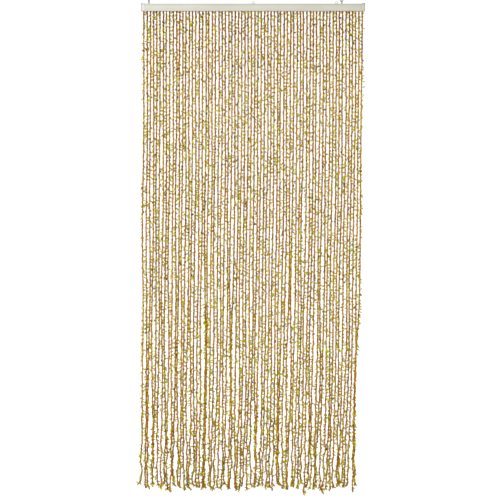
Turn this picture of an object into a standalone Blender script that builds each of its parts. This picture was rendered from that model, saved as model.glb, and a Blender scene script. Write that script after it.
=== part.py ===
"""Foliage door curtain: leafy strings on a heading strip, in a plastic rail that hangs by eyes on two hooks.

Metres, +Z up, +X to the right as seen from the front, and the front faces -Y.
The origin is the centre of the rail's flat back face.
"""

import math
import random

import bmesh
import bpy
from mathutils import Vector

# Rail: a channel open below by a slot, with a groove along its front
rail_width = 0.900
rail_height = 0.0295
rail_depth = 0.016
wall = 0.0018
slot_width = 0.0074
groove_height = 0.0012
groove_depth = 0.0006
groove_below_top = 0.0085
edge_round = 0.0005

# End caps: a hood over the rail's top and front, with round outer corners and a plug inside the channel
cap_length = 0.0145
cap_end_wall = 0.005
cap_above_rail = 0.0026
cap_before_rail = 0.0013
cap_front_corner = 0.0050
cap_back_corner = 0.0015
cap_plug_length = 0.009
cap_edge_round = 0.0006

# Eyes on the rail's top; one on a hook is drawn up by its play
eye_tube = 0.0012
eye_hole = 0.0034
eye_above_collar = 0.0049
eye_play = 0.0034
collar_radius = 0.0032
collar_height = 0.0013
shank_radius = 0.0020
rivet_head_radius = 0.0036
rivet_head_height = 0.0016

# Hooks: bent wire under a round plate
hook_wire = 0.0017
hook_bend = 0.0055
hook_neck_bend = 0.0030
hook_shank = 0.0130
hook_tip_angle = math.radians(395)
plate_radius = 0.0078
plate_height = 0.0022

# Heading strip and strings
strip_depth = 0.0112
strip_height = 0.0030
strip_end_gap = 0.0010
string_count = 68
string_sides = 4
string_radius = 0.0028
first_string_x = -0.4386
last_string_x = 0.4394
string_drop = 1.918
string_seed = 8100
pair_seed = 115

# The strings whose tips hang lowest, and how much longer they are
longer_strings = {9: 0.026, 24: 0.014, 40: 0.016, 51: 0.016, 57: 0.014}

# How the strings hang: they lean to the left, sway in three wave lengths and lie in three rows low down
lean_left, lean_right, lean_power = 0.0095, 0.0310, 1.7
long_wave, long_reach = 1.05, 0.0030
mid_wave, mid_reach = 0.62, 0.0018
short_reach = 0.0025
row_depths = (-0.0078, 0.0050, -0.0014)

# Shares of the drop between which the rows part, the short waves grow and a pair draws together
row_start, row_end = 0.02, 0.42
wave_start, wave_end = 0.80, 0.95
pair_share = 0.45
pair_pull = (0.30, 0.75)
pull_start = (0.56, 0.82)
pull_span = 0.17

# Sections along a string: its even upper part, its waving tail and its curled end
upper_steps, tail_steps, curl_steps = 5, 12, 3
tail_start = 1.54

# Clear space between two solids that touch, and how far a cutter runs past what it cuts
gap = 0.0003
overrun = 0.012

rail_top = rail_height / 2
rail_bottom = -rail_height / 2
middle_depth = -rail_depth / 2
rail_end = rail_width / 2 - cap_end_wall - gap
lip_top = rail_bottom + wall
strip_bottom = lip_top + gap
strip_top = strip_bottom + strip_height
pitch = (last_string_x - first_string_x) / (string_count - 1)

# Each eye's place along the rail, how far it is turned, and how far the hook that holds it is turned
eyes = [
    {"name": "left", "x": -0.4185, "turn": math.radians(12), "hook_turn": math.radians(18)},
    {"name": "middle", "x": 0.0018, "turn": math.radians(-4), "hook_turn": None},
    {"name": "spare", "x": 0.3353, "turn": math.radians(10), "hook_turn": None},
    {"name": "right", "x": 0.3562, "turn": math.radians(42), "hook_turn": math.radians(72)},
]


def clear_scene():
    for old in list(bpy.data.objects):
        bpy.data.objects.remove(old)


def material(name, colour, roughness, metallic=0.0):
    made = bpy.data.materials.new(name)
    made.use_nodes = True
    shader = made.node_tree.nodes["Principled BSDF"]
    shader.inputs["Base Color"].default_value = (*colour, 1.0)
    shader.inputs["Roughness"].default_value = roughness
    shader.inputs["Metallic"].default_value = metallic
    made.diffuse_color = (*colour, 1.0)
    return made


def add_object(name, data, finish=None):
    thing = bpy.data.objects.new(name, data)
    bpy.context.scene.collection.objects.link(thing)
    if finish:
        data.materials.append(finish)
    return thing


def mesh_from(bm, name, smooth_angle=None):
    bmesh.ops.recalc_face_normals(bm, faces=bm.faces)
    mesh = bpy.data.meshes.new(name)
    bm.to_mesh(mesh)
    bm.free()
    if smooth_angle:
        mesh.shade_smooth()
        mesh.set_sharp_from_angle(angle=math.radians(smooth_angle))
    return mesh


def cutter(name, mesh):
    thing = add_object(name, mesh)
    thing.hide_render = True
    thing.display_type = "WIRE"
    return thing


def boolean(thing, other, operation):
    modifier = thing.modifiers.new(operation.lower(), "BOOLEAN")
    modifier.operation = operation
    modifier.solver = "EXACT"
    modifier.object = other


def rounded(thing, width, angle):
    modifier = thing.modifiers.new("rounded edges", "BEVEL")
    modifier.width = width
    modifier.segments = 2
    modifier.limit_method = "ANGLE"
    modifier.angle_limit = math.radians(angle)


def box_mesh(name, low, high):
    bm = bmesh.new()
    bmesh.ops.create_cube(bm, size=1.0)
    bmesh.ops.scale(bm, vec=Vector(high) - Vector(low), verts=bm.verts)
    bmesh.ops.translate(bm, vec=(Vector(low) + Vector(high)) / 2, verts=bm.verts)
    return mesh_from(bm, name)


def prism_mesh(name, corners, sweep, smooth_angle=None):
    """The flat outline through the corners, swept by a vector."""
    bm = bmesh.new()
    face = bm.faces.new([bm.verts.new(corner) for corner in corners])
    swept = bmesh.ops.extrude_face_region(bm, geom=[face])
    far = [v for v in swept["geom"] if isinstance(v, bmesh.types.BMVert)]
    bmesh.ops.translate(bm, vec=sweep, verts=far)
    return mesh_from(bm, name, smooth_angle)


def turned_mesh(name, profile, steps):
    """A solid turned about Z from (radius, height) corners that start and end on the axis."""
    bm = bmesh.new()
    line = [bm.verts.new((r, 0, z)) for r, z in profile]
    edges = [bm.edges.new(pair) for pair in zip(line, line[1:])]
    bmesh.ops.spin(
        bm, geom=line + edges, cent=(0, 0, 0), axis=(0, 0, 1),
        angle=math.tau, steps=steps, use_merge=True,
    )
    bmesh.ops.remove_doubles(bm, verts=bm.verts, dist=1e-6)
    return mesh_from(bm, name, smooth_angle=35)


def disc_mesh(name, radius, low, high, steps):
    return turned_mesh(name, [(0, low), (radius, low), (radius, high), (0, high)], steps)


def curve_from(name, lines):
    curve = bpy.data.curves.new(name, "CURVE")
    curve.dimensions = "3D"
    curve.use_fill_caps = True
    for line in lines:
        spline = curve.splines.new("POLY")
        spline.points.add(len(line) - 1)
        for point, place in zip(spline.points, line):
            point.co = (*place, 1.0)
    return curve


def curve_mesh(curve, smooth_angle=None):
    """The closed mesh of a curve with its section and caps."""
    holder = add_object(curve.name + "_line", curve)
    graph = bpy.context.evaluated_depsgraph_get()
    mesh = bpy.data.meshes.new_from_object(holder.evaluated_get(graph))
    bpy.data.objects.remove(holder)
    bm = bmesh.new()
    bm.from_mesh(mesh)
    bmesh.ops.remove_doubles(bm, verts=bm.verts, dist=1e-6)
    return mesh_from(bm, curve.name, smooth_angle)


def arc(centre, radius, start, end, steps):
    return [
        (centre[0] + radius * math.cos(a), centre[1] + radius * math.sin(a))
        for a in (start + (end - start) * k / steps for k in range(steps + 1))
    ]


def rail_section():
    """The rail's outline as (depth, height) corners."""
    front, back = -rail_depth, 0.0
    slot_front = middle_depth - slot_width / 2
    slot_back = middle_depth + slot_width / 2
    groove_top = rail_top - groove_below_top
    groove_floor = front + groove_depth
    return [
        (back, rail_bottom),
        (back, rail_top),
        (front, rail_top),
        (front, groove_top),
        (groove_floor, groove_top),
        (groove_floor, groove_top - groove_height),
        (front, groove_top - groove_height),
        (front, rail_bottom),
        (slot_front, rail_bottom),
        (slot_front, lip_top),
        (front + wall, lip_top),
        (front + wall, rail_top - wall),
        (back - wall, rail_top - wall),
        (back - wall, lip_top),
        (slot_back, lip_top),
        (slot_back, rail_bottom),
    ]


def make_rail(finish):
    corners = [(-rail_end, y, z) for y, z in rail_section()]
    rail = add_object("rail", prism_mesh("rail", corners, (2 * rail_end, 0, 0)), finish)
    rounded(rail, edge_round, angle=60)
    for eye in eyes:
        name = "hole_" + eye["name"]
        hole = disc_mesh(name, shank_radius + gap, rail_top - 2 * wall, rail_top + wall, steps=16)
        drill = cutter(name, hole)
        drill.location = (eye["x"], middle_depth, 0)
        boolean(rail, drill, "DIFFERENCE")
    return rail


def cap_plan():
    """The right cap's outline from above as (x, depth) corners."""
    outer, inner = rail_width / 2, rail_width / 2 - cap_length
    front = -rail_depth - cap_before_rail
    front_corner = arc(
        (outer - cap_front_corner, front + cap_front_corner), cap_front_corner, -math.pi / 2, 0, 7)
    back_corner = arc(
        (outer - cap_back_corner, -cap_back_corner), cap_back_corner, 0, math.pi / 2, 3)
    return [(inner, front)] + front_corner + back_corner + [(inner, 0)]


def sided_box(name, side, low, high):
    """A box given for the right end of the rail, made there or as its mirror image at the left end."""
    xs = sorted((side * low[0], side * high[0]))
    return box_mesh(name, (xs[0], *low[1:]), (xs[1], *high[1:]))


def make_end_cap(name, side, finish):
    """A block with a pocket for the rail's end, and a plug that fills the channel above the strip."""
    cap_top = rail_top + cap_above_rail
    corners = [(side * x, y, rail_bottom) for x, y in cap_plan()]
    block = prism_mesh(name, corners, (0, 0, cap_top - rail_bottom), smooth_angle=35)
    cap = add_object(name, block, finish)
    rounded(cap, cap_edge_round, angle=40)
    pocket = sided_box(
        name + "_pocket", side,
        (rail_width / 2 - cap_length - overrun, -rail_depth - gap, rail_bottom - overrun),
        (rail_end + gap, overrun, rail_top + gap),
    )
    boolean(cap, cutter(name + "_pocket", pocket), "DIFFERENCE")
    plug = sided_box(
        name + "_plug", side,
        (rail_end - cap_plug_length, -rail_depth + wall + gap, strip_top + 3 * gap),
        (rail_end + 2 * gap, -wall - gap, rail_top - wall - gap),
    )
    boolean(cap, cutter(name + "_plug", plug), "UNION")
    return cap


def eye_height(eye):
    """The height of the ring's centre: a free eye stands on the rail."""
    drawn_up = 0.0 if eye["hook_turn"] is None else eye_play
    return rail_top + gap + eye_above_collar + drawn_up


def ring_mesh(name, height):
    """The eye's ring, which stands in the XZ plane before it is turned."""
    bm = bmesh.new()
    section = bmesh.ops.create_circle(bm, cap_ends=False, segments=8, radius=eye_tube)["verts"]
    bmesh.ops.translate(bm, vec=(eye_hole + eye_tube, 0, 0), verts=section)
    bmesh.ops.spin(
        bm, geom=section + list(bm.edges), cent=(0, 0, 0), axis=(0, 1, 0),
        angle=math.tau, steps=20, use_merge=True,
    )
    bmesh.ops.remove_doubles(bm, verts=bm.verts, dist=1e-6)
    bmesh.ops.translate(bm, vec=(0, 0, height), verts=bm.verts)
    return mesh_from(bm, name, smooth_angle=60)


def place_at(eye, turn, things):
    for thing in things:
        thing.location = (eye["x"], middle_depth, 0)
        thing.rotation_euler = (0, 0, turn)


def make_eye(eye, finish):
    """A ring on a rivet that has some play in the rail's top wall, with its head inside the channel."""
    name = "eye_" + eye["name"]
    height = eye_height(eye)
    collar_bottom = height - eye_above_collar
    head_top = collar_bottom - eye_play - 2 * gap - wall
    post = turned_mesh(name, [
        (0, head_top - rivet_head_height), (rivet_head_radius, head_top - rivet_head_height),
        (rivet_head_radius, head_top), (shank_radius, head_top),
        (shank_radius, collar_bottom), (collar_radius, collar_bottom),
        (collar_radius, collar_bottom + collar_height), (0, collar_bottom + collar_height),
    ], steps=16)
    rivet = add_object(name, post, finish)
    ring = cutter(name + "_ring", ring_mesh(name + "_ring", height))
    boolean(rivet, ring, "UNION")
    place_at(eye, eye["turn"], (rivet, ring))
    return rivet


def hook_line():
    """The hook's wire in its own plane: a shank, a small bend back, then the bend that holds the eye."""
    reach = hook_bend + hook_neck_bend
    meet = math.acos(-hook_neck_bend / reach)
    neck_centre = (reach * math.cos(meet), reach * math.sin(meet))
    shank_top = (0.0, neck_centre[1] + hook_shank)
    neck = arc(neck_centre, hook_neck_bend, 0.0, meet - math.pi, 4)
    bend = arc((0.0, 0.0), hook_bend, meet, hook_tip_angle, 18)
    return [shank_top] + neck + bend[1:]


def make_hook(eye, finish):
    """A wire hook under a round plate, whose flat top lies against what holds the curtain up."""
    name = "hook_" + eye["name"]
    bend_centre = eye_height(eye) + eye_hole - gap - hook_wire + hook_bend
    line = [(0.0, depth, bend_centre + height) for depth, height in hook_line()]
    top = line[0][2]
    disc = disc_mesh(name, plate_radius, top - plate_height / 2, top + plate_height / 2, steps=24)
    plate = add_object(name, disc, finish)
    curve = curve_from(name + "_wire", [line])
    curve.bevel_depth = hook_wire
    curve.bevel_resolution = 2
    wire = cutter(name + "_wire", curve_mesh(curve, smooth_angle=60))
    boolean(plate, wire, "UNION")
    place_at(eye, eye["hook_turn"], (plate, wire))
    return plate


def ramp(value, start, end):
    """0 before start, 1 after end, and a slope with soft ends between them."""
    share = min(1.0, max(0.0, (value - start) / (end - start)))
    return share * share * (3 - 2 * share)


def pair_pulls():
    """How far each string is drawn to its neighbour low down, in shares of half the pitch."""
    dice = random.Random(pair_seed)
    pulls = [0.0] * string_count
    index = 0
    while index < string_count - 1:
        if dice.random() < pair_share:
            share = dice.uniform(*pair_pull)
            pulls[index], pulls[index + 1] = share, -share
            index += 2
        else:
            index += 1
    return pulls


def string_traits(index):
    """What makes one string hang differently from the next."""
    dice = random.Random(string_seed + index)
    return {
        "root": dice.uniform(-0.0012, 0.0012),
        "long_size": dice.uniform(0.5, 1.3),
        "long_phase": dice.random(),
        "mid_size": dice.uniform(0.4, 1.2),
        "mid_phase": dice.random(),
        "short_size": dice.uniform(0.4, 1.2),
        "short_wave": dice.uniform(0.105, 0.175),
        "short_phase": dice.random(),
        "pull_start": dice.uniform(*pull_start),
        "length": string_drop + dice.uniform(-0.016, 0.010) + longer_strings.get(index, 0.0),
        "curl": math.radians(12 + 88 * dice.random() ** 2),
        "curl_length": dice.uniform(0.016, 0.030),
        "curl_side": dice.choice((-1, 1)),
    }


def sway(index, traits, pull, drop):
    """Sideways and depth offsets of a string at a drop below the rail."""
    across = index / (string_count - 1)
    share = drop / string_drop
    x = traits["root"]
    x -= (lean_left + (lean_right - lean_left) * across) * share ** lean_power
    x += traits["long_size"] * long_reach * share ** 0.6 * math.sin(
        math.tau * (drop / long_wave + traits["long_phase"]))
    x += traits["mid_size"] * mid_reach * share * math.sin(
        math.tau * (drop / mid_wave + traits["mid_phase"]))
    x += traits["short_size"] * short_reach * ramp(share, wave_start, wave_end) * math.sin(
        math.tau * (drop / traits["short_wave"] + traits["short_phase"]))
    x += pull * pitch / 2 * ramp(share, traits["pull_start"], traits["pull_start"] + pull_span)
    return x, row_depths[index % 3] * ramp(share, row_start, row_end)


def string_point(index, traits, pull, run):
    """The string's centre at a run along it from the rail's lower edge; its end curls to one side."""
    straight = traits["length"] - traits["curl_length"]
    x, y = sway(index, traits, pull, min(max(run, 0.0), straight))
    x += first_string_x + pitch * index
    fall = min(run, straight)
    if run > straight:
        bend = traits["curl_length"] / traits["curl"]
        angle = (run - straight) / bend
        x += traits["curl_side"] * bend * (1 - math.cos(angle))
        fall += bend * math.sin(angle)
    return Vector((x, middle_depth + y, rail_bottom - fall))


def string_runs(traits):
    """The runs where a string has a section: wide apart where it is straight, close where it waves."""
    straight = traits["length"] - traits["curl_length"]
    upper = [tail_start * k / upper_steps for k in range(1, upper_steps + 1)]
    tail = [tail_start + (straight - tail_start) * k / tail_steps for k in range(1, tail_steps + 1)]
    curl = [straight + traits["curl_length"] * k / curl_steps for k in range(1, curl_steps + 1)]
    return upper + tail + curl


def string_line(index, pull):
    """A string's points from its root in the strip to its tip."""
    traits = string_traits(index)
    root_run = rail_bottom - (strip_bottom + strip_height / 2)
    runs = [root_run] + string_runs(traits)
    return [string_point(index, traits, pull, run) for run in runs]


def string_section():
    """The strings' cross-section, a closed curve that their lines take as their bevel."""
    section = bpy.data.curves.new("string_section", "CURVE")
    section.dimensions = "2D"
    outline = section.splines.new("POLY")
    outline.points.add(string_sides - 1)
    outline.use_cyclic_u = True
    for k, corner in enumerate(outline.points):
        angle = math.tau * k / string_sides
        corner.co = (string_radius * math.cos(angle), string_radius * math.sin(angle), 0, 1)
    return cutter("string_section", section)


def make_strings(finish):
    """The heading strip in the rail's channel, with every string fused into it by its root."""
    half_strip = rail_end - strip_end_gap
    strip = box_mesh(
        "leaf_strings",
        (-half_strip, middle_depth - strip_depth / 2, strip_bottom),
        (half_strip, middle_depth + strip_depth / 2, strip_top),
    )
    heading = add_object("leaf_strings", strip, finish)
    curve = curve_from("strings", [string_line(k, pull) for k, pull in enumerate(pair_pulls())])
    curve.bevel_mode = "OBJECT"
    curve.bevel_object = string_section()
    boolean(heading, cutter("strings", curve_mesh(curve)), "UNION")
    return heading


def main():
    clear_scene()
    rail_plastic = material("rail plastic", (0.69, 0.67, 0.56), 0.42)
    cap_plastic = material("cap plastic", (0.69, 0.67, 0.58), 0.48)
    eye_wire = material("eye wire", (0.60, 0.59, 0.54), 0.35, 0.3)
    hook_steel = material("hook steel", (0.36, 0.36, 0.34), 0.38, 0.85)
    cord = material("rust and olive cord", (0.50, 0.24, 0.06), 0.85)
    make_rail(rail_plastic)
    make_end_cap("end_cap_left", -1, cap_plastic)
    make_end_cap("end_cap_right", 1, cap_plastic)
    for eye in eyes:
        make_eye(eye, eye_wire)
        if eye["hook_turn"] is not None:
            make_hook(eye, hook_steel)
    make_strings(cord)


main()
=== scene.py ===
import math
import random

import bmesh
import bpy
from mathutils import Matrix, Vector
from mathutils.bvhtree import BVHTree


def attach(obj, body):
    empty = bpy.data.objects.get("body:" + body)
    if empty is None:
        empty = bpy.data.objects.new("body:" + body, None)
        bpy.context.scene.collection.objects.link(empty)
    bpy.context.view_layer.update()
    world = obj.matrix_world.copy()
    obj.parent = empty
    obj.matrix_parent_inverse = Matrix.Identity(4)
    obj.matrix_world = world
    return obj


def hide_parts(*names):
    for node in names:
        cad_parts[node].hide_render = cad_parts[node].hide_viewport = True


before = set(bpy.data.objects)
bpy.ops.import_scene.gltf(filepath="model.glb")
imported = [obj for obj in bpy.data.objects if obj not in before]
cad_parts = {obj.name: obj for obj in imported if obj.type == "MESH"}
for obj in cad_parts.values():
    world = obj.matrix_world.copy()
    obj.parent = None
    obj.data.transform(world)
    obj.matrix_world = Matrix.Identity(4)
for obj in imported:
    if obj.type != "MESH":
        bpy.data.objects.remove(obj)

scene = bpy.context.scene
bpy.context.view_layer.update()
print("frame loaded with", len(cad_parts), "nodes")


# small helpers for objects and meshes

def addObject(name, data, finish=None):
    thing = bpy.data.objects.new(name, data)
    scene.collection.objects.link(thing)
    if finish:
        data.materials.append(finish)
    return thing


def shadeByAngle(mesh, angle):
    mesh.shade_smooth()
    mesh.set_sharp_from_angle(angle=math.radians(angle))


def meshFrom(bm, name, smoothAngle=None):
    mesh = bpy.data.meshes.new(name)
    bm.to_mesh(mesh)
    bm.free()
    if smoothAngle:
        shadeByAngle(mesh, smoothAngle)
    return mesh


def addPiece(name, data, finish, node):
    # every new piece rides on the one body and stands for a CAD node
    piece = addObject(name, data, finish)
    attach(piece, "root")
    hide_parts(node)
    return piece


def evaluatedMesh(thing):
    graph = bpy.context.evaluated_depsgraph_get()
    return bpy.data.meshes.new_from_object(
        thing.evaluated_get(graph), preserve_all_data_layers=True, depsgraph=graph)


def unionMesh(first, second):
    # two overlapping shells made one, with the helpers removed after
    holders = [addObject("holderA", first), addObject("holderB", second)]
    joined = holders[0].modifiers.new("union", "BOOLEAN")
    joined.operation = "UNION"
    joined.solver = "EXACT"
    joined.object = holders[1]
    mesh = evaluatedMesh(holders[0])
    for holder in holders:
        bpy.data.objects.remove(holder)
    return mesh


def closeSeams(bm):
    # doubles merged, then the faces turned outwards
    bmesh.ops.remove_doubles(bm, verts=bm.verts, dist=1e-6)
    bmesh.ops.recalc_face_normals(bm, faces=bm.faces)


def turnedBmesh(profile, steps):
    # (radius, height) corners spun round Z
    bm = bmesh.new()
    line = [bm.verts.new((r, 0, z)) for r, z in profile]
    edges = [bm.edges.new(pair) for pair in zip(line, line[1:])]
    bmesh.ops.spin(
        bm, geom=line + edges, cent=(0, 0, 0), axis=(0, 0, 1),
        angle=math.tau, steps=steps, use_merge=True)
    closeSeams(bm)
    return bm


def curveObject(name, dimensions="3D"):
    curve = bpy.data.curves.new(name, "CURVE")
    curve.dimensions = dimensions
    curve.use_fill_caps = dimensions == "3D"
    return curve


def closedCurveMesh(curve, smoothAngle):
    # a bevelled curve as one closed shell for each spline
    holder = addObject(curve.name + "Line", curve)
    mesh = evaluatedMesh(holder)
    bpy.data.objects.remove(holder)
    bm = bmesh.new()
    bm.from_mesh(mesh)
    closeSeams(bm)
    return meshFrom(bm, curve.name, smoothAngle)


# camera: a long lens at the height of the curtain's middle

cameraSet = {
    "lens": 85.0,           # mm, on a 36 mm sensor
    "sensor": 36.0,
    "viewHeight": 2.0090,   # what the square picture takes in at the curtain, m
    "aim": Vector((-0.01225, -0.008, -0.9739)),
    "clipEnd": 60,
}


def makeCamera():
    data = bpy.data.cameras.new("camera")
    data.lens = cameraSet["lens"]
    data.sensor_width = cameraSet["sensor"]
    data.clip_end = cameraSet["clipEnd"]
    distance = cameraSet["viewHeight"] * cameraSet["lens"] / cameraSet["sensor"]
    camera = addObject("camera", data)
    camera.location = cameraSet["aim"] - Vector((0, distance, 0))
    camera.rotation_euler = (math.radians(90), 0, 0)
    scene.camera = camera


makeCamera()
print("camera set")


# node helpers for the finishes

def newFinish(name, roughness, metallic=0.0, **sockets):
    made = bpy.data.materials.new(name)
    made.use_nodes = True
    shader = made.node_tree.nodes["Principled BSDF"]
    shader.inputs["Roughness"].default_value = roughness
    shader.inputs["Metallic"].default_value = metallic
    for socket, value in sockets.items():
        shader.inputs[socket.replace("_", " ")].default_value = value
    return made, made.node_tree, shader


def addNode(tree, kind, values=None, **settings):
    node = tree.nodes.new(kind)
    for key, value in settings.items():
        setattr(node, key, value)
    for key, value in (values or {}).items():
        node.inputs[key].default_value = value
    return node


def objectPlace(tree, scale=(1, 1, 1), turn=(0, 0, 0)):
    spot = addNode(tree, "ShaderNodeTexCoord")
    mapping = addNode(tree, "ShaderNodeMapping", {"Scale": scale, "Rotation": turn})
    tree.links.new(spot.outputs["Object"], mapping.inputs["Vector"])
    return mapping.outputs["Vector"]


def uvPlace(tree, scale=(1, 1, 1), turn=(0, 0, 0)):
    spot = addNode(tree, "ShaderNodeUVMap", uv_map="UVMap")
    mapping = addNode(tree, "ShaderNodeMapping", {"Scale": scale, "Rotation": turn})
    tree.links.new(spot.outputs["UV"], mapping.inputs["Vector"])
    return mapping.outputs["Vector"]


def noiseOf(tree, place, scale, detail=3.0, roughness=0.5):
    noise = addNode(tree, "ShaderNodeTexNoise", {
        "Scale": scale, "Detail": detail, "Roughness": roughness})
    tree.links.new(place, noise.inputs["Vector"])
    return noise.outputs["Fac"]


def rampOf(tree, factor, stops, interpolation="LINEAR"):
    node = addNode(tree, "ShaderNodeValToRGB")
    band = node.color_ramp
    band.interpolation = interpolation
    while len(band.elements) < len(stops):
        band.elements.new(0.5)
    for element, (position, colour) in zip(band.elements, stops):
        element.position = position
        element.color = (*colour, 1.0)
    tree.links.new(factor, node.inputs["Fac"])
    return node.outputs["Color"]


def spread(tree, factor, low, high, lowTo=0.0, highTo=1.0):
    node = addNode(tree, "ShaderNodeMapRange", {
        "From Min": low, "From Max": high, "To Min": lowTo, "To Max": highTo})
    tree.links.new(factor, node.inputs["Value"])
    return node.outputs["Result"]


def blendOf(tree, factor, first, second, kind="MIX"):
    node = addNode(tree, "ShaderNodeMix", data_type="RGBA", blend_type=kind)
    for source, socket in ((factor, 0), (first, 6), (second, 7)):
        if isinstance(source, (float, int)):
            node.inputs[socket].default_value = source
        elif isinstance(source, tuple):
            node.inputs[socket].default_value = (*source, 1.0)
        else:
            tree.links.new(source, node.inputs[socket])
    return node.outputs[2]


def mathOf(tree, operation, first, second=0.0):
    node = addNode(tree, "ShaderNodeMath", operation=operation)
    for source, socket in ((first, 0), (second, 1)):
        if isinstance(source, (float, int)):
            node.inputs[socket].default_value = source
        else:
            tree.links.new(source, node.inputs[socket])
    return node.outputs[0]


def addBump(tree, shader, height, strength, distance):
    node = addNode(tree, "ShaderNodeBump", {"Strength": strength, "Distance": distance})
    tree.links.new(height, node.inputs["Height"])
    tree.links.new(node.outputs["Normal"], shader.inputs["Normal"])


def setColour(tree, shader, colour):
    tree.links.new(colour, shader.inputs["Base Color"])


def setRoughness(tree, shader, value):
    tree.links.new(value, shader.inputs["Roughness"])


# rail and caps: CAD solids, given their plastic

railLook = {
    "pale": (0.580, 0.575, 0.509),
    "dull": (0.518, 0.513, 0.443),
    "keyFalloffShade": (0.850, 0.835, 0.800),    # painted shade for the key light's fall-off: what is left of each colour at the right end
    "keyFalloffFrom": -0.45, "keyFalloffTo": 0.45,
    "topEdgeShade": (0.830, 0.830, 0.825),    # and painted shade along the top edge
    "topEdgeShadeFrom": 0.0084, "topEdgeShadeTo": 0.0098,
    "roughness": (0.34, 0.50),
    "lines": 420.0,      # fine lines that the extruder leaves along the rail
    "lineShare": 0.35, "cloudShare": 0.65,
}
# the two caps are one plastic: the left one's colours are painted lighter, with a painted highlight, and
# the right one's painted darker, as painted light from the key on the left
capLooksLitAndShaded = {
    "end_cap_left": {
        "pale": (0.708, 0.708, 0.655), "dull": (0.584, 0.580, 0.522), "rimShade": (0.410, 0.420, 0.405)},
    "end_cap_right": {
        "pale": (0.496, 0.491, 0.420), "dull": (0.443, 0.434, 0.363), "rimShade": (0.320, 0.320, 0.290)},
}
# the rim shade is painted shade on the cap's outer end, past these distances from the rail's middle
capSet = {"rimShadeFrom": 0.4446, "rimShadeTo": 0.4456, "roughness": (0.38, 0.52), "cloud": 60.0, "grain": 900.0}


def placeParts(tree):
    # the surface's own X, Y and Z
    parts = addNode(tree, "ShaderNodeSeparateXYZ")
    tree.links.new(objectPlace(tree), parts.inputs[0])
    return parts.outputs


# painted shade: a darker band along the top edge of the rail and the caps
def shadeTopEdge(tree, colour, height):
    topEdgeShade = rampOf(tree, spread(tree, height, railLook["topEdgeShadeFrom"], railLook["topEdgeShadeTo"]), [
        (0.0, (1.0, 1.0, 1.0)), (1.0, railLook["topEdgeShade"])])
    return blendOf(tree, 1.0, colour, topEdgeShade, "MULTIPLY")


def railPlastic():
    made, tree, shader = newFinish("railPlastic", 0.42, IOR=1.47)
    lines = noiseOf(tree, objectPlace(tree, (0.6, railLook["lines"], railLook["lines"])), 1.0, 2)
    cloud = noiseOf(tree, objectPlace(tree, (9, 30, 30)), 1.0, 4)
    both = mathOf(
        tree, "ADD", mathOf(tree, "MULTIPLY", lines, railLook["lineShare"]),
        mathOf(tree, "MULTIPLY", cloud, railLook["cloudShare"]))
    fresh = rampOf(tree, both, [(0.36, railLook["dull"]), (0.62, railLook["pale"])])
    across, _, height = placeParts(tree)
    # painted light: the rail darkens from left to right, as the key light from the left falls off
    keyFalloffTint = rampOf(tree, spread(tree, across, railLook["keyFalloffFrom"], railLook["keyFalloffTo"]), [
        (0.0, (1.0, 1.0, 1.0)), (1.0, railLook["keyFalloffShade"])])
    setColour(tree, shader, shadeTopEdge(tree, blendOf(tree, 1.0, fresh, keyFalloffTint, "MULTIPLY"), height))
    setRoughness(tree, shader, spread(tree, cloud, 0.3, 0.7, *railLook["roughness"]))
    addBump(tree, shader, lines, 0.25, 0.0002)
    return made


def capPlastic(name, look):
    made, tree, shader = newFinish("capPlastic_" + name, 0.45, IOR=1.47)
    cloud = noiseOf(tree, objectPlace(tree), capSet["cloud"], 4)
    grain = noiseOf(tree, objectPlace(tree), capSet["grain"], 2)
    face = rampOf(tree, cloud, [(0.34, look["dull"]), (0.60, look["pale"])])
    across, _, height = placeParts(tree)
    # painted shade on the cap's outer end
    rimShade = spread(tree, mathOf(tree, "ABSOLUTE", across), capSet["rimShadeFrom"], capSet["rimShadeTo"])
    setColour(tree, shader, shadeTopEdge(tree, blendOf(tree, rimShade, face, look["rimShade"]), height))
    setRoughness(tree, shader, spread(tree, cloud, 0.3, 0.7, *capSet["roughness"]))
    addBump(tree, shader, grain, 0.18, 0.0002)
    return made


def dressNode(name, finish):
    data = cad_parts[name].data
    data.materials.clear()
    data.materials.append(finish)


dressNode("rail", railPlastic())
for name, look in capLooksLitAndShaded.items():
    dressNode(name, capPlastic(name, look))
print("rail and caps finished")


# eyes on the rail, two of them drawn up by their hooks; the same sizes as the CAD solids

railSet = {"top": 0.01475, "bottom": -0.01475, "middle": -0.008, "wall": 0.0018, "gap": 0.0003}
eyeSet = {
    "tube": 0.0012, "hole": 0.0034, "aboveCollar": 0.0049, "play": 0.0034,
    "collar": (0.0032, 0.0013), "shank": 0.0020, "head": (0.0036, 0.0016),
    "chamfer": 0.0003, "ringSteps": 44, "tubeSides": 12, "postSteps": 32, "sharpAngle": 42,
}
eyePlaces = [
    {"name": "left", "x": -0.4185, "turn": 12, "hookTurn": 18},
    {"name": "middle", "x": 0.0018, "turn": -4, "hookTurn": None},
    {"name": "spare", "x": 0.3353, "turn": 10, "hookTurn": None},
    {"name": "right", "x": 0.3562, "turn": 42, "hookTurn": 72},
]
hookSet = {
    "wire": 0.0017, "bend": 0.0055, "neck": 0.0030, "shank": 0.0130, "tip": 395,
    "bendSteps": 54, "neckSteps": 12, "cutEnd": ((1, 0.55), (2, 0.88)),     # the wire's cut end is rounded
    "plate": (0.0078, 0.0022), "plateEdge": 0.0006, "plateSteps": 48, "sharpAngle": 42,
}


wireLook = {
    # dull and bright colour, roughness and how metallic
    "ring": ((0.34, 0.335, 0.305), (0.50, 0.495, 0.47), (0.28, 0.45), 0.35),
    "hook": ((0.090, 0.090, 0.085), (0.23, 0.23, 0.217), (0.32, 0.50), 0.85),
    "bare": (0.085, 0.080, 0.065),      # the collar and shank
    "bareFade": 0.0004,
    "blotch": 380.0, "marks": 2600.0,
}


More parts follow.
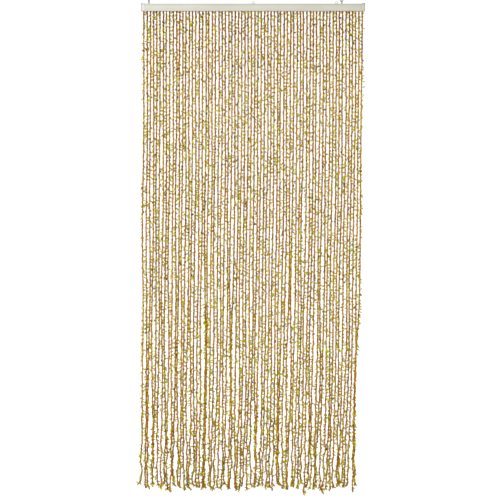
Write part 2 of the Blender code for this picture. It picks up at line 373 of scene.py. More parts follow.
def wireFinish(name, dull, bright, roughness, metallic, bareBelow=None):
    # thin plating: blotches of duller metal and fine drawing marks
    made, tree, shader = newFinish(name, 0.4, metallic)
    blotch = noiseOf(tree, objectPlace(tree), wireLook["blotch"], 4)
    marks = noiseOf(tree, objectPlace(tree), wireLook["marks"], 2)
    colour = rampOf(tree, blotch, [(0.34, dull), (0.62, bright)])
    if bareBelow:
        bare = spread(tree, placeParts(tree)[2], bareBelow, bareBelow + wireLook["bareFade"])
        colour = blendOf(tree, bare, wireLook["bare"], colour)
    setColour(tree, shader, colour)
    setRoughness(tree, shader, spread(tree, blotch, 0.3, 0.7, *roughness))
    addBump(tree, shader, marks, 0.15, 0.0001)
    return made


def eyeHeight(eye):
    lift = 0.0 if eye["hookTurn"] is None else eyeSet["play"]
    return railSet["top"] + railSet["gap"] + eyeSet["aboveCollar"] + lift


def placeAt(mesh, eye, turn):
    mesh.transform(
        Matrix.Translation((eye["x"], railSet["middle"], 0))
        @ Matrix.Rotation(math.radians(turn), 4, "Z"))


def ringMesh(height):
    bm = bmesh.new()
    section = bmesh.ops.create_circle(
        bm, cap_ends=False, segments=eyeSet["tubeSides"], radius=eyeSet["tube"])["verts"]
    bmesh.ops.translate(bm, vec=(eyeSet["hole"] + eyeSet["tube"], 0, 0), verts=section)
    bmesh.ops.spin(
        bm, geom=section + list(bm.edges), cent=(0, 0, 0), axis=(0, 1, 0),
        angle=math.tau, steps=eyeSet["ringSteps"], use_merge=True)
    closeSeams(bm)
    bmesh.ops.translate(bm, vec=(0, 0, height), verts=bm.verts)
    return meshFrom(bm, "ring")


def postMesh(height):
    low = height - eyeSet["aboveCollar"]
    collar, collarTall = eyeSet["collar"]
    head, headTall = eyeSet["head"]
    headTop = low - eyeSet["play"] - 2 * railSet["gap"] - railSet["wall"]
    bevel = eyeSet["chamfer"]
    bm = turnedBmesh([
        (0, headTop - headTall), (head - bevel, headTop - headTall), (head, headTop - headTall + bevel),
        (head, headTop), (eyeSet["shank"], headTop), (eyeSet["shank"], low),
        (collar, low), (collar, low + collarTall - bevel), (collar - bevel, low + collarTall),
        (0, low + collarTall),
    ], eyeSet["postSteps"])
    return meshFrom(bm, "post")


def makeEye(eye, finish):
    height = eyeHeight(eye)
    mesh = unionMesh(postMesh(height), ringMesh(height))
    shadeByAngle(mesh, eyeSet["sharpAngle"])
    placeAt(mesh, eye, eye["turn"])
    addPiece("eyeletRing_" + eye["name"], mesh, finish, "eye_" + eye["name"])


def arcPoints(centre, radius, start, end, steps):
    return [
        (centre[0] + radius * math.cos(a), centre[1] + radius * math.sin(a))
        for a in (start + (end - start) * k / steps for k in range(steps + 1))
    ]


def hookLine():
    # shank, small bend back, then the round bend that holds the eye
    reach = hookSet["bend"] + hookSet["neck"]
    meet = math.acos(-hookSet["neck"] / reach)
    neckMiddle = (reach * math.cos(meet), reach * math.sin(meet))
    neck = arcPoints(neckMiddle, hookSet["neck"], 0.0, meet - math.pi, hookSet["neckSteps"])
    bend = arcPoints(
        (0.0, 0.0), hookSet["bend"], meet, math.radians(hookSet["tip"]), hookSet["bendSteps"])
    return [(0.0, neckMiddle[1] + hookSet["shank"])] + neck + bend[1:]


def wireMesh(line):
    curve = curveObject("hookWire")
    curve.bevel_depth = hookSet["wire"]
    curve.bevel_resolution = 5
    spline = curve.splines.new("POLY")
    spline.points.add(len(line) - 1)
    for point, place in zip(spline.points, line):
        point.co = (*place, 1.0)
    for back, size in hookSet["cutEnd"]:
        spline.points[-back].radius = size
    return closedCurveMesh(curve, 60)


def plateMesh(top):
    radius, tall = hookSet["plate"]
    edge = hookSet["plateEdge"]
    low, high = top - tall / 2, top + tall / 2
    bm = turnedBmesh([
        (0, low), (radius - edge, low), (radius - edge * 0.3, low + edge * 0.3), (radius, low + edge),
        (radius, high - edge), (radius - edge * 0.3, high - edge * 0.3), (radius - edge, high), (0, high),
    ], hookSet["plateSteps"])
    return meshFrom(bm, "plate")


def makeHook(eye, finish):
    middle = eyeHeight(eye) + eyeSet["hole"] - railSet["gap"] - hookSet["wire"] + hookSet["bend"]
    line = [(0.0, depth, middle + height) for depth, height in hookLine()]
    mesh = unionMesh(plateMesh(line[0][2]), wireMesh(line))
    shadeByAngle(mesh, hookSet["sharpAngle"])
    placeAt(mesh, eye, eye["hookTurn"])
    addPiece("wireHook_" + eye["name"], mesh, finish, "hook_" + eye["name"])


hookFinish = wireFinish("greyWire", *wireLook["hook"])
for eye in eyePlaces:
    collarTop = eyeHeight(eye) - eyeSet["aboveCollar"] + eyeSet["collar"][1]
    makeEye(eye, wireFinish("paleWire_" + eye["name"], *wireLook["ring"], bareBelow=collarTop))
    if eye["hookTurn"] is not None:
        makeHook(eye, hookFinish)
print("eyes and hooks made")


# how the strings hang: the same values and draws as the CAD strings

stringSet = {
    "count": 68, "first": -0.4386, "last": 0.4394, "drop": 1.918,
    "seed": 8100, "pairSeed": 115,
    "longer": {9: 0.026, 24: 0.014, 40: 0.016, 51: 0.016, 57: 0.014},
    "leanLeft": 0.0095, "leanRight": 0.0310, "leanPower": 1.7,
    "longWave": 1.05, "longReach": 0.0030, "midWave": 0.62, "midReach": 0.0018, "shortReach": 0.0025,
    "rows": (-0.0078, 0.0050, -0.0014), "rowSpan": (0.02, 0.42), "waveSpan": (0.80, 0.95),
    "pairShare": 0.45, "pairPull": (0.30, 0.75), "pullStart": (0.56, 0.82), "pullSpan": 0.17,
    "rootRun": -0.0036,     # the root's middle, above the rail's lower edge
}
stringPitch = (stringSet["last"] - stringSet["first"]) / (stringSet["count"] - 1)


def softStep(value, start, end):
    share = min(1.0, max(0.0, (value - start) / (end - start)))
    return share * share * (3 - 2 * share)


def levelAt(levels, share):
    # the value at this share, from pairs of share and value
    for (start, low), (end, high) in zip(levels, levels[1:]):
        if share <= end:
            return low + (high - low) * (share - start) / (end - start)
    return levels[-1][1]


def pairPulls():
    dice = random.Random(stringSet["pairSeed"])
    pulls = [0.0] * stringSet["count"]
    index = 0
    while index < stringSet["count"] - 1:
        if dice.random() < stringSet["pairShare"]:
            share = dice.uniform(*stringSet["pairPull"])
            pulls[index], pulls[index + 1] = share, -share
            index += 2
        else:
            index += 1
    return pulls


def stringTraits(index, pull):
    dice = random.Random(stringSet["seed"] + index)
    return {
        "index": index, "pull": pull,
        "root": dice.uniform(-0.0012, 0.0012),
        "longSize": dice.uniform(0.5, 1.3), "longPhase": dice.random(),
        "midSize": dice.uniform(0.4, 1.2), "midPhase": dice.random(),
        "shortSize": dice.uniform(0.4, 1.2), "shortWave": dice.uniform(0.105, 0.175),
        "shortPhase": dice.random(), "pullStart": dice.uniform(*stringSet["pullStart"]),
        "length": stringSet["drop"] + dice.uniform(-0.016, 0.010) + stringSet["longer"].get(index, 0.0),
        "curl": math.radians(12 + 88 * dice.random() ** 2),
        "curlLength": dice.uniform(0.016, 0.030), "curlSide": dice.choice((-1, 1)),
        "kinkPhases": [dice.random() for _ in range(4)], "twistPhase": dice.random(),
        "tone": dice.random(),
    }


def sway(traits, drop):
    share = drop / stringSet["drop"]
    across = traits["index"] / (stringSet["count"] - 1)
    lean = stringSet["leanLeft"] + (stringSet["leanRight"] - stringSet["leanLeft"]) * across
    x = traits["root"] - lean * share ** stringSet["leanPower"]
    x += traits["longSize"] * stringSet["longReach"] * share ** 0.6 * math.sin(
        math.tau * (drop / stringSet["longWave"] + traits["longPhase"]))
    x += traits["midSize"] * stringSet["midReach"] * share * math.sin(
        math.tau * (drop / stringSet["midWave"] + traits["midPhase"]))
    x += traits["shortSize"] * stringSet["shortReach"] * softStep(share, *stringSet["waveSpan"]) * math.sin(
        math.tau * (drop / traits["shortWave"] + traits["shortPhase"]))
    x += traits["pull"] * stringPitch / 2 * softStep(
        share, traits["pullStart"], traits["pullStart"] + stringSet["pullSpan"])
    return x, stringSet["rows"][traits["index"] % 3] * softStep(share, *stringSet["rowSpan"])


kinkSet = {
    "waves": (0.058, 0.081), "second": 0.6,       # two wave lengths, and the second's size beside the first
    "reach": (0.00040, 0.0011), "grow": (0.55, 1.0), "start": 0.03, "depth": 0.5,
}


def kink(traits, drop):
    # the yarn's own small bends, too fine for the CAD solids
    size = kinkSet["reach"][0] + (kinkSet["reach"][1] - kinkSet["reach"][0]) * softStep(
        drop / stringSet["drop"], *kinkSet["grow"])
    size *= softStep(drop, 0.0, kinkSet["start"])
    waves = [
        math.sin(math.tau * (drop / kinkSet["waves"][k % 2] + phase))
        for k, phase in enumerate(traits["kinkPhases"])]
    across = size * (waves[0] + kinkSet["second"] * waves[1])
    return across, kinkSet["depth"] * size * (waves[2] + kinkSet["second"] * waves[3])


def stringPoint(traits, run):
    straight = traits["length"] - traits["curlLength"]
    drop = min(max(run, 0.0), straight)
    x, y = sway(traits, drop)
    kinkX, kinkY = kink(traits, drop)
    x += stringSet["first"] + stringPitch * traits["index"] + kinkX
    y += kinkY
    fall = min(run, straight)
    if run > straight:
        bend = traits["curlLength"] / traits["curl"]
        angle = (run - straight) / bend
        x += traits["curlSide"] * bend * (1 - math.cos(angle))
        fall += bend * math.sin(angle)
    return Vector((x, railSet["middle"] + y, railSet["bottom"] - fall))


strings = [stringTraits(k, pull) for k, pull in enumerate(pairPulls())]


# two-ply cords: a section with two lobes that turns on its way down

cordSet = {
    "sections": 540, "groups": "ABCD",       # the cords are joined in four pieces
    "twist": 0.028, "twistFrom": 0.9, "twistMore": 0.2,
    "lobe": [(3.25, 0.0), (2.42, 1.90), (0.0, 1.60), (-2.42, 1.90),
             (-3.25, 0.0), (-2.42, -1.90), (0.0, -1.60), (2.42, -1.90)],   # mm
    # share of the drop, and how thick the cord is there
    "thick": [(0.0, 1.14), (0.10, 1.12), (0.18, 1.08), (0.76, 1.08), (0.88, 1.10), (1.0, 1.00)],
    "uneven": 0.05, "unevenWave": 0.047,
    "knotBack": 0.013, "knotHalf": 0.0045, "knotSize": 0.42,
    "endTaper": (-0.001, 0.006), "endSize": 0.45,
}
cordLook = {
    "shade": (0.150, 0.066, 0.001),
    "rust": (0.562, 0.203, 0.001),
    "amber": (0.580, 0.304, 0.002),
    "straw": (0.720, 0.410, 0.005),
    # each ply's patches: their scale and stops, the first ply's and the second's
    "warmPly": (115.0, [(0.385, "shade"), (0.47, "rust"), (0.58, "rust"), (0.68, "straw")]),
    "palePly": (150.0, [(0.375, "shade"), (0.45, "rust"), (0.55, "amber"), (0.66, "straw")]),
    # a slow change down each cord: some lengths have lost their dye, some have more of it
    "dye": 75.0,
    "faded": (0.740, 0.415, 0.060), "fadedMost": 0.7,
    "deep": (0.291, 0.128, 0.001), "deepMost": 0.6,
    "groove": 0.13,         # painted shade between the plies: what is left of the colour there
    "ridges": (1900 / math.tau, 8.0, 1), "fibre": 2400.0,
    "roughness": 0.86,
    # painted shade, darker under the rail and towards the hem, and redder towards the hem: height in m,
    # what is left of the colour
    "heightShade": [(-0.020, (0.67, 0.55, 0.50)), (-0.140, (0.80, 0.72, 0.66)), (-0.420, (0.96, 0.96, 1.0)),
             (-1.350, (1.0, 1.0, 1.0)), (-1.750, (0.94, 0.84, 0.86)), (-1.950, (0.80, 0.63, 0.70))],
    "grey": (0.36, 0.255, 0.150),       # what the dust at the hem looks like
    "greyFrom": -1.50, "greyTo": -1.93, "greyMost": 0.06,
    "sheen": {"Sheen_Weight": 1.0, "Sheen_Roughness": 0.4, "Sheen_Tint": (1.0, 0.55, 0.06, 1)},
}


def plyColour(tree, place, scale, stops):
    patches = noiseOf(tree, place, scale, 3)
    return rampOf(tree, patches, [(at, cordLook[name]) for at, name in stops])


def cordFinish():
    made, tree, shader = newFinish(
        "twistedCord", cordLook["roughness"], Specular_IOR_Level=0.0, **cordLook["sheen"])
    around = addNode(tree, "ShaderNodeSeparateXYZ")
    tree.links.new(uvPlace(tree), around.inputs[0])
    lobes = mathOf(tree, "COSINE", mathOf(tree, "MULTIPLY", around.outputs["Y"], math.tau))
    ply = spread(tree, lobes, -0.25, 0.25)
    warm = plyColour(tree, objectPlace(tree, (1, 1, 0.9)), *cordLook["warmPly"])
    pale = plyColour(tree, objectPlace(tree, (1, 1, 1), (0.4, 0.2, 0)), *cordLook["palePly"])
    twoTone = blendOf(tree, ply, warm, pale)
    dye = noiseOf(tree, objectPlace(tree, (1, 1, 0.03)), cordLook["dye"], 2)
    darker = blendOf(
        tree, spread(tree, dye, 0.46, 0.28, 0.0, cordLook["deepMost"]), twoTone, cordLook["deep"])
    dyed = blendOf(
        tree, spread(tree, dye, 0.56, 0.72, 0.0, cordLook["fadedMost"]), darker, cordLook["faded"])
    # painted shade in the crease between the plies
    groove = spread(tree, mathOf(tree, "ABSOLUTE", lobes), 0.0, 0.45, cordLook["groove"], 1.0)
    # painted shade by height: darker under the rail and towards the hem
    top, hem = cordLook["heightShade"][0][0], cordLook["heightShade"][-1][0]
    height = placeParts(tree)[2]
    heightShade = rampOf(tree, spread(tree, height, top, hem), [
        ((at - top) / (hem - top), left) for at, left in cordLook["heightShade"]])
    toned = blendOf(tree, 1.0, dyed, heightShade, "MULTIPLY")
    greyed = spread(tree, height, cordLook["greyFrom"], cordLook["greyTo"], 0.0, cordLook["greyMost"])
    toned = blendOf(tree, greyed, toned, cordLook["grey"])
    setColour(tree, shader, blendOf(tree, 1.0, toned, groove, "MULTIPLY"))
    # each ply is spun from finer yarn, which shows as slanting ridges
    slant = addNode(tree, "ShaderNodeTexWave", {"Scale": 1.0, "Distortion": 1.2, "Detail": 2.0})
    tree.links.new(uvPlace(tree, cordLook["ridges"]), slant.inputs["Vector"])
    fibre = noiseOf(tree, objectPlace(tree, (1, 1, 0.25)), cordLook["fibre"], 3)
    ridges = mathOf(tree, "ADD", slant.outputs["Fac"], fibre)
    addBump(tree, shader, ridges, 0.6, 0.0003)
    return made


def lobedSection():
    section = curveObject("cordSection", "2D")
    outline = section.splines.new("POLY")
    outline.points.add(len(cordSet["lobe"]) - 1)
    outline.use_cyclic_u = True
    for point, (across, up) in zip(outline.points, cordSet["lobe"]):
        point.co = (across / 1000, up / 1000, 0, 1)
    return addObject("cordSection", section)


def cordThickness(traits, run):
    toEnd = traits["length"] - run
    size = levelAt(cordSet["thick"], max(0.0, run) / traits["length"])
    size += cordSet["uneven"] * math.sin(math.tau * (run / cordSet["unevenWave"] + traits["longPhase"]))
    size += cordSet["knotSize"] * max(0.0, 1 - ((toEnd - cordSet["knotBack"]) / cordSet["knotHalf"]) ** 2)
    whole = softStep(toEnd, *cordSet["endTaper"])
    return size * (cordSet["endSize"] + (1 - cordSet["endSize"]) * whole)


def makeCords(group, members, section, finish):
    curve = curveObject("cords" + group)
    curve.bevel_mode = "OBJECT"
    curve.bevel_object = section
    last = cordSet["sections"] - 1
    for traits in members:
        spline = curve.splines.new("POLY")
        spline.points.add(last)
        span = traits["length"] - stringSet["rootRun"]
        twist = cordSet["twist"] * (cordSet["twistFrom"] + cordSet["twistMore"] * traits["tone"])
        halfTurns = round(span / twist / 2)     # taken off, because a tilt stops at 60 turns
        for k, point in enumerate(spline.points):
            run = stringSet["rootRun"] + span * k / last
            point.co = (*stringPoint(traits, run), 1.0)
            point.tilt = math.tau * (run / twist + traits["twistPhase"] - halfTurns)
            point.radius = cordThickness(traits, run)
    mesh = closedCurveMesh(curve, None)
    mesh.shade_smooth()
    addPiece("cords" + group, mesh, finish, "leaf_strings")
    bm = bmesh.new()
    bm.from_mesh(mesh)
    surface = BVHTree.FromBMesh(bm)
    bm.free()
    return surface


section = lobedSection()
cordYarn = cordFinish()
perGroup = math.ceil(stringSet["count"] / len(cordSet["groups"]))
cordSurfaces = [
    makeCords(group, strings[number * perGroup:(number + 1) * perGroup], section, cordYarn)
    for number, group in enumerate(cordSet["groups"])]
bpy.data.objects.remove(section)
print("cords made")


# heading strip in the rail, which every cord's root goes into

stripSet = {
    "half": 0.4437, "deep": 0.0112, "low": -0.01265, "high": -0.00965, "edge": 0.0006,
    "weave": 900, "threads": ((0.42, 0.30, 0.17, 1), (0.58, 0.44, 0.27, 1)), "wornTo": (0.75, 0.75, 0.75),
}


def stripFinish():
    made, tree, shader = newFinish("stripWebbing", 0.9, Sheen_Weight=0.2)
    darkThread, paleThread = stripSet["threads"]
    weave = addNode(tree, "ShaderNodeTexChecker", {
        "Scale": 1.0, "Color1": darkThread, "Color2": paleThread})
    tree.links.new(objectPlace(tree, (stripSet["weave"],) * 3), weave.inputs["Vector"])
    cloud = noiseOf(tree, objectPlace(tree), 160.0, 4)
    toned = rampOf(tree, cloud, [(0.3, stripSet["wornTo"]), (0.7, (1.0, 1.0, 1.0))])
    setColour(tree, shader, blendOf(tree, 1.0, weave.outputs["Color"], toned, "MULTIPLY"))
    addBump(tree, shader, weave.outputs["Fac"], 0.4, 0.0002)
    return made


def makeStrip():
    bm = bmesh.new()
    bmesh.ops.create_cube(bm, size=1.0)
    tall = stripSet["high"] - stripSet["low"]
    bmesh.ops.scale(bm, vec=(2 * stripSet["half"], stripSet["deep"], tall), verts=bm.verts)
    bmesh.ops.translate(
        bm, vec=(0, railSet["middle"], (stripSet["high"] + stripSet["low"]) / 2), verts=bm.verts)
    bmesh.ops.bevel(
        bm, geom=list(bm.edges), offset=stripSet["edge"], affect="EDGES", segments=3,
        profile=0.5, material=-1)
    addPiece("headingStrip", meshFrom(bm, "headingStrip", 40), stripFinish(), "leaf_strings")


makeStrip()
print("heading strip made")


# leaves: pointed blades held between the plies, all round each cord

leafSet = {
    "seed": 4200, "spacing": 0.0113, "first": 0.0012, "last": 0.003,
    "length": (0.0099, 0.0135), "thick": 0.035,      # the rib's thickness is a share of the length
    "lifted": 0.12, "liftFrom": 0.03, "liftShare": 0.5,     # some leaves point upwards instead
    "roll": 9, "strays": 0.41, "sideSpread": 62, "frontSpread": 55,
    "pointed": 0.82,             # puts a blade's widest place nearer its stem
    "roundIn": (0.22, 0.62),     # the drop in which the leafy side goes once round the cord, m
    "dwell": 0.30,               # how much longer it stays at the left and right than in front
    "bunches": 0.07,             # share of the places that hold more than one leaf
    "closer": [(0.0, 1.0), (0.58, 1.0), (0.72, 0.88), (1.0, 0.68)],    # spacing by share of the drop
    "rootFrom": 0.0039, "rootSunk": 0.0004, "cordRadius": 0.0033,
    "tipLeaves": 2, "tipFrom": (0.001, 0.012),
    "tries": 12, "squeezed": 0.5,       # a leaf that finds no room is made this much smaller
    "depthRoom": (-0.0270, 0.0066),     # how far a tip may reach to the front and the back
    "limeWave": 0.9, "limeSwing": 0.45,
    "rib": (0.62, 0.64, 0.22), "ribHalf": 0.07, "ribMost": 0.35,
    "roughness": 0.62,
}
leafKinds = [
    {"name": "Lime", "share": 0.50, "fold": 0.20, "curl": 0.20,
     "scale": 1.05, "width": 0.44, "hang": (19, 63),
     "byDrop": [(0.0, 1.0), (0.55, 1.0), (1.0, 0.60)], "front": 0.0,
     "tones": [(0.0, (0.320, 0.395, 0.002)), (0.5, (0.440, 0.500, 0.004)), (1.0, (0.580, 0.595, 0.012))]},
    {"name": "Olive", "share": 0.34, "fold": 0.28, "curl": 0.34,
     "scale": 1.0, "width": 0.44, "hang": (27, 69),
     "byDrop": [(0.0, 1.0), (1.0, 1.0)], "front": 0.0,
     "tones": [(0.0, (0.226, 0.211, 0.001)), (0.5, (0.338, 0.275, 0.001)), (1.0, (0.458, 0.330, 0.001))]},
    {"name": "Dark", "share": 0.13, "fold": 0.24, "curl": 0.12,
     "scale": 0.90, "width": 0.56, "hang": (58, 86),
     "byDrop": [(0.0, 1.8), (0.06, 1.4), (0.20, 0.70), (0.75, 0.60), (0.88, 0.45), (1.0, 0.70)],
     "front": 0.70,      # most of them lie on the front of the cord
     "tones": [(0.0, (0.036, 0.032, 0.001)), (0.6, (0.085, 0.074, 0.001)), (1.0, (0.160, 0.132, 0.001))]},
]
leafSheen = {"Sheen_Weight": 0.5, "Sheen_Roughness": 0.4, "Sheen_Tint": (0.9, 0.9, 0.05, 1)}


def leafFinish(kind):
    made, tree, shader = newFinish(
        "leaf" + kind["name"], leafSet["roughness"], Specular_IOR_Level=0.0, **leafSheen)
    tone = addNode(tree, "ShaderNodeAttribute", attribute_name="tone", attribute_type="GEOMETRY")
    blade = rampOf(tree, tone.outputs["Fac"], kind["tones"])
    sides = addNode(tree, "ShaderNodeSeparateXYZ")
    tree.links.new(uvPlace(tree), sides.inputs[0])
    fromRib = mathOf(tree, "ABSOLUTE", mathOf(tree, "SUBTRACT", sides.outputs["Y"], 0.5))
    rib = spread(tree, fromRib, 0.0, leafSet["ribHalf"], leafSet["ribMost"], 0.0)
    cloud = noiseOf(tree, objectPlace(tree), 420.0, 3)
    mottled = blendOf(tree, 1.0, blade, rampOf(
        tree, cloud, [(0.3, (0.78, 0.78, 0.78)), (0.7, (1.12, 1.12, 1.12))]), "MULTIPLY")
    setColour(tree, shader, blendOf(tree, rib, mottled, leafSet["rib"]))
    veins = addNode(tree, "ShaderNodeTexWave", {"Scale": 1.6, "Distortion": 0.6, "Detail": 1.0})
    tree.links.new(uvPlace(tree, (3.2, 1.6, 1), (0, 0, 0.6)), veins.inputs["Vector"])
    addBump(tree, shader, veins.outputs["Fac"], 0.35, 0.0002)
    return made


def leafMesh(kind):
    # a pointed blade along X, one long, folded along its rib and curled to its tip;
    # its two skins meet at the edges and are apart at the rib
    bm = bmesh.new()
    bm.loops.layers.uv.new("UVMap")
    bmesh.ops.create_grid(bm, x_segments=4, y_segments=2, size=0.5, calc_uvs=True)
    for vert in bm.verts:
        along = vert.co.x + 0.5
        side = vert.co.y * 2
        half = 0.0
        if 0 < along < 1:
            half = kind["width"] / 2 * math.sin(math.pi * along ** leafSet["pointed"])
        vert.co = (along, side * half, 0.0)
    under = bmesh.ops.duplicate(bm, geom=list(bm.verts) + list(bm.edges) + list(bm.faces))["geom"]
    underFaces = [g for g in under if isinstance(g, bmesh.types.BMFace)]
    underVerts = {g for g in under if isinstance(g, bmesh.types.BMVert)}
    bmesh.ops.reverse_faces(bm, faces=underFaces)
    for vert in bm.verts:
        along, side = vert.co.x, vert.co.y
        if abs(side) < 1e-6 and 0 < along < 1:
            vert.co.z += leafSet["thick"] * (-0.5 if vert in underVerts else 0.5)
        vert.co.z += kind["fold"] * abs(side) - kind["curl"] * along ** 2
    bmesh.ops.remove_doubles(bm, verts=bm.verts, dist=1e-5)
    bmesh.ops.recalc_face_normals(bm, faces=bm.faces)
    for edge in bm.edges:
        edge.smooth = not all(v.co.y != 0 or v.co.x in (0, 1) for v in edge.verts)
    for face in bm.faces:
        face.smooth = True
    mesh = bpy.data.meshes.new("leafBlade" + kind["name"])
    bm.to_mesh(mesh)
    bm.free()
    return mesh


# the cords' middles at even drops, for keeping leaves out of the next cord
middleSet = {"step": 0.004, "count": 500, "near": 0.006}
drops = [k * middleSet["step"] for k in range(middleSet["count"])]
middles = [[stringPoint(t, min(d, t["length"])) for d in drops] for t in strings]


def hitsNeighbour(index, place):
    step = int((railSet["bottom"] - place.z) / middleSet["step"])
    if not 0 <= step < len(drops):
        return False
    for other in (index - 2, index - 1, index + 1, index + 2):
        if 0 <= other < len(strings):
            middle = middles[other][step]
            if abs(middle.z - place.z) < middleSet["near"] and (
                    (middle.x - place.x) ** 2 + (middle.y - place.y) ** 2 < leafSet["cordRadius"] ** 2):
                return True
    return False


def leafTurn(traits, run, kind, dice):
    if dice.random() < kind["front"]:
        return math.radians(dice.uniform(-1, 1) * leafSet["frontSpread"] - 90)
    if dice.random() < leafSet["strays"]:
        return dice.uniform(0, math.tau)
    low, high = leafSet["roundIn"]
    around = math.tau * (run / (low + (high - low) * traits["tone"]) + traits["twistPhase"])
    around -= leafSet["dwell"] * math.sin(2 * around)
    return around * traits["curlSide"] + math.radians(dice.triangular(-1, 1) * leafSet["sideSpread"])


def rootReach(traits, run, middle, out):
    # how far the cord's surface is from its middle where the leaf comes out
    start = leafSet["rootFrom"] * cordThickness(traits, run)
    surface = cordSurfaces[traits["index"] // perGroup]
    toSurface = surface.ray_cast(middle + out * start, -out, start)[3]
    return start - (start / 2 if toSurface is None else toSurface) - leafSet["rootSunk"]


def leafSpot(traits, run, kind, dice):
    middle = stringPoint(traits, run)
    plyReach = leafSet["cordRadius"] * cordThickness(traits, run)
    long = kind["scale"] * dice.uniform(*leafSet["length"])
    frontRoom, backRoom = leafSet["depthRoom"]
    for attempt in range(leafSet["tries"]):
        turn = leafTurn(traits, run, kind, dice)
        droop = math.radians(dice.uniform(*kind["hang"]))
        if dice.random() < leafSet["lifted"] and run > leafSet["liftFrom"]:
            droop = -droop * leafSet["liftShare"]
        out = Vector((math.cos(turn), math.sin(turn), 0))
        rootOut = rootReach(traits, run, middle, out)
        # half a blade's length clears the plies
        droop = min(droop, math.acos(min(1.0, max(0.0, plyReach - rootOut) / (0.5 * long))))
        way = out * math.cos(droop) - Vector((0, 0, math.sin(droop)))
        tip = middle + out * rootOut + way * long
        clear = not any(hitsNeighbour(traits["index"], middle.lerp(tip, part)) for part in (0.5, 0.75, 1.0))
        if clear and frontRoom < tip.y < backRoom:
            break
    else:
        long *= leafSet["squeezed"]
    # the blade mostly faces front or back, and is rolled about its own length
    front = Vector((0, -1, 0))
    face = front - way * way.dot(front)
    if face.length < 0.35:
        face = out * math.sin(droop) + Vector((0, 0, math.cos(droop)))
    face.normalize()
    face.rotate(Matrix.Rotation(math.radians(dice.uniform(-1, 1) * leafSet["roll"]), 3, way))
    turnMatrix = Matrix((way, face.cross(way), face)).transposed()
    return {
        "place": middle + out * rootOut, "turn": turnMatrix.to_euler(),
        "size": long, "tone": dice.random(),
    }


def pickKind(traits, run, dice):
    # lime leaves come and go along a cord, and some cords have more dark ones than others
    drop = max(0.0, run) / traits["length"]
    shares = [kind["share"] * levelAt(kind["byDrop"], drop) for kind in leafKinds]
    swing = math.sin(math.tau * (run / leafSet["limeWave"] + traits["longPhase"]))
    shares[0] *= 1.0 + leafSet["limeSwing"] * swing
    shares[2] *= 0.5 + traits["midPhase"]
    return dice.choices(leafKinds, shares)[0]


def leafSpots():
    found = {kind["name"]: [] for kind in leafKinds}
    for traits in strings:
        dice = random.Random(leafSet["seed"] + traits["index"])
        run = leafSet["first"] * dice.uniform(0.5, 2.5)
        runs = []
        while run < traits["length"] - leafSet["last"]:
            runs += [run] * (dice.choice((2, 3)) if dice.random() < leafSet["bunches"] else 1)
            closer = levelAt(leafSet["closer"], run / traits["length"])
            run += leafSet["spacing"] * closer * dice.uniform(0.55, 1.45)
        runs += [
            traits["length"] - dice.uniform(*leafSet["tipFrom"]) for _ in range(leafSet["tipLeaves"])]
        for run in runs:
            kind = pickKind(traits, run, dice)
            found[kind["name"]].append(leafSpot(traits, run, kind, dice))
    return found


def leafNodes(blade):
    # one leaf at each point, turned, sized and toned by the point's own values
    tree = bpy.data.node_groups.new("leavesOnPoints", "GeometryNodeTree")
    tree.interface.new_socket("Geometry", in_out="INPUT", socket_type="NodeSocketGeometry")
    tree.interface.new_socket("Geometry", in_out="OUTPUT", socket_type="NodeSocketGeometry")
    start, end = tree.nodes.new("NodeGroupInput"), tree.nodes.new("NodeGroupOutput")
    source = addNode(tree, "GeometryNodeObjectInfo", {"Object": blade})
    turn = addNode(tree, "GeometryNodeInputNamedAttribute", {"Name": "turn"}, data_type="FLOAT_VECTOR")
    size = addNode(tree, "GeometryNodeInputNamedAttribute", {"Name": "size"}, data_type="FLOAT")
    spots = tree.nodes.new("GeometryNodeInstanceOnPoints")
    whole = tree.nodes.new("GeometryNodeRealizeInstances")
    tree.links.new(start.outputs[0], spots.inputs["Points"])
    tree.links.new(source.outputs["Geometry"], spots.inputs["Instance"])
    tree.links.new(turn.outputs["Attribute"], spots.inputs["Rotation"])
    tree.links.new(size.outputs["Attribute"], spots.inputs["Scale"])
    tree.links.new(spots.outputs["Instances"], whole.inputs["Geometry"])
    tree.links.new(whole.outputs["Geometry"], end.inputs[0])
    return tree


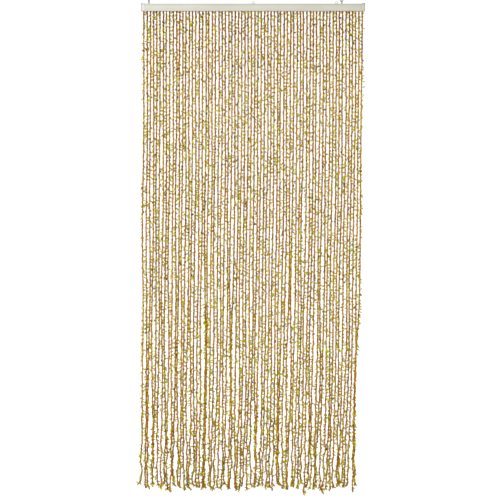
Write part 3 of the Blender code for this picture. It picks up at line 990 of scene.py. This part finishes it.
def makeLeaves(kind, spots):
    blade = addObject("leafBlade" + kind["name"], leafMesh(kind))
    bm = bmesh.new()
    for spot in spots:
        bm.verts.new(spot["place"])
    points = meshFrom(bm, "leafPoints")
    for key, form, width in (("turn", "FLOAT_VECTOR", 3), ("size", "FLOAT", 1), ("tone", "FLOAT", 1)):
        layer = points.attributes.new(key, form, "POINT")
        values = [v for spot in spots for v in (spot[key] if width == 3 else (spot[key],))]
        layer.data.foreach_set("vector" if width == 3 else "value", values)
    holder = addObject("leafPoints", points)
    holder.modifiers.new("leaves", "NODES").node_group = leafNodes(blade)
    mesh = evaluatedMesh(holder)
    mesh.name = "leaves" + kind["name"]
    mesh.materials.clear()
    for thing in (holder, blade):
        bpy.data.objects.remove(thing)
    addPiece("leaves" + kind["name"], mesh, leafFinish(kind), "leaf_strings")
    print("leaves", kind["name"], len(spots), "in", len(mesh.polygons), "faces")


spotsByKind = leafSpots()
for kind in leafKinds:
    makeLeaves(kind, spotsByKind[kind["name"]])
print("leaves made")


# white studio: bright sky, pale floor, a soft key from the left and a fill from the right

studioSet = {
    "sky": 1.12, "floorHeight": -2.04, "floorSize": 16.0,
    "floorColour": (0.93, 0.93, 0.93), "floorGlow": 0.12,
    "key": {"place": (-2.1, -2.7, 1.1), "aim": (-0.1, 0, -0.6), "size": 1.4, "power": 24.5},
    "fill": {"place": (2.4, -3.0, 0.2), "aim": (0.1, 0, -1.0), "size": 1.8, "power": 6.7},
}


def addSoftbox(name, spec):
    data = bpy.data.lights.new(name, "AREA")
    data.shape = "SQUARE"
    data.size = spec["size"]
    data.energy = spec["power"]
    box = addObject(name, data)
    box.location = spec["place"]
    box.rotation_euler = (Vector(spec["aim"]) - Vector(spec["place"])).to_track_quat("-Z", "Y").to_euler()


def makeStudio():
    scene.view_settings.view_transform = "Standard"
    world = bpy.data.worlds.new("studio")
    world.use_nodes = True
    sky = world.node_tree.nodes["Background"]
    sky.inputs["Color"].default_value = (1, 1, 1, 1)
    sky.inputs["Strength"].default_value = studioSet["sky"]
    scene.world = world
    addSoftbox("keySoftbox", studioSet["key"])
    addSoftbox("fillSoftbox", studioSet["fill"])
    made, tree, shader = newFinish("paleFloor", 0.8)
    shader.inputs["Base Color"].default_value = (*studioSet["floorColour"], 1)
    shader.inputs["Emission Color"].default_value = (1, 1, 1, 1)
    shader.inputs["Emission Strength"].default_value = studioSet["floorGlow"]
    bm = bmesh.new()
    bmesh.ops.create_grid(bm, x_segments=1, y_segments=1, size=studioSet["floorSize"] / 2)
    bmesh.ops.translate(bm, vec=(0, 0, studioSet["floorHeight"]), verts=bm.verts)
    addObject("paleFloor", meshFrom(bm, "paleFloor"), made)


makeStudio()
print("studio lit")
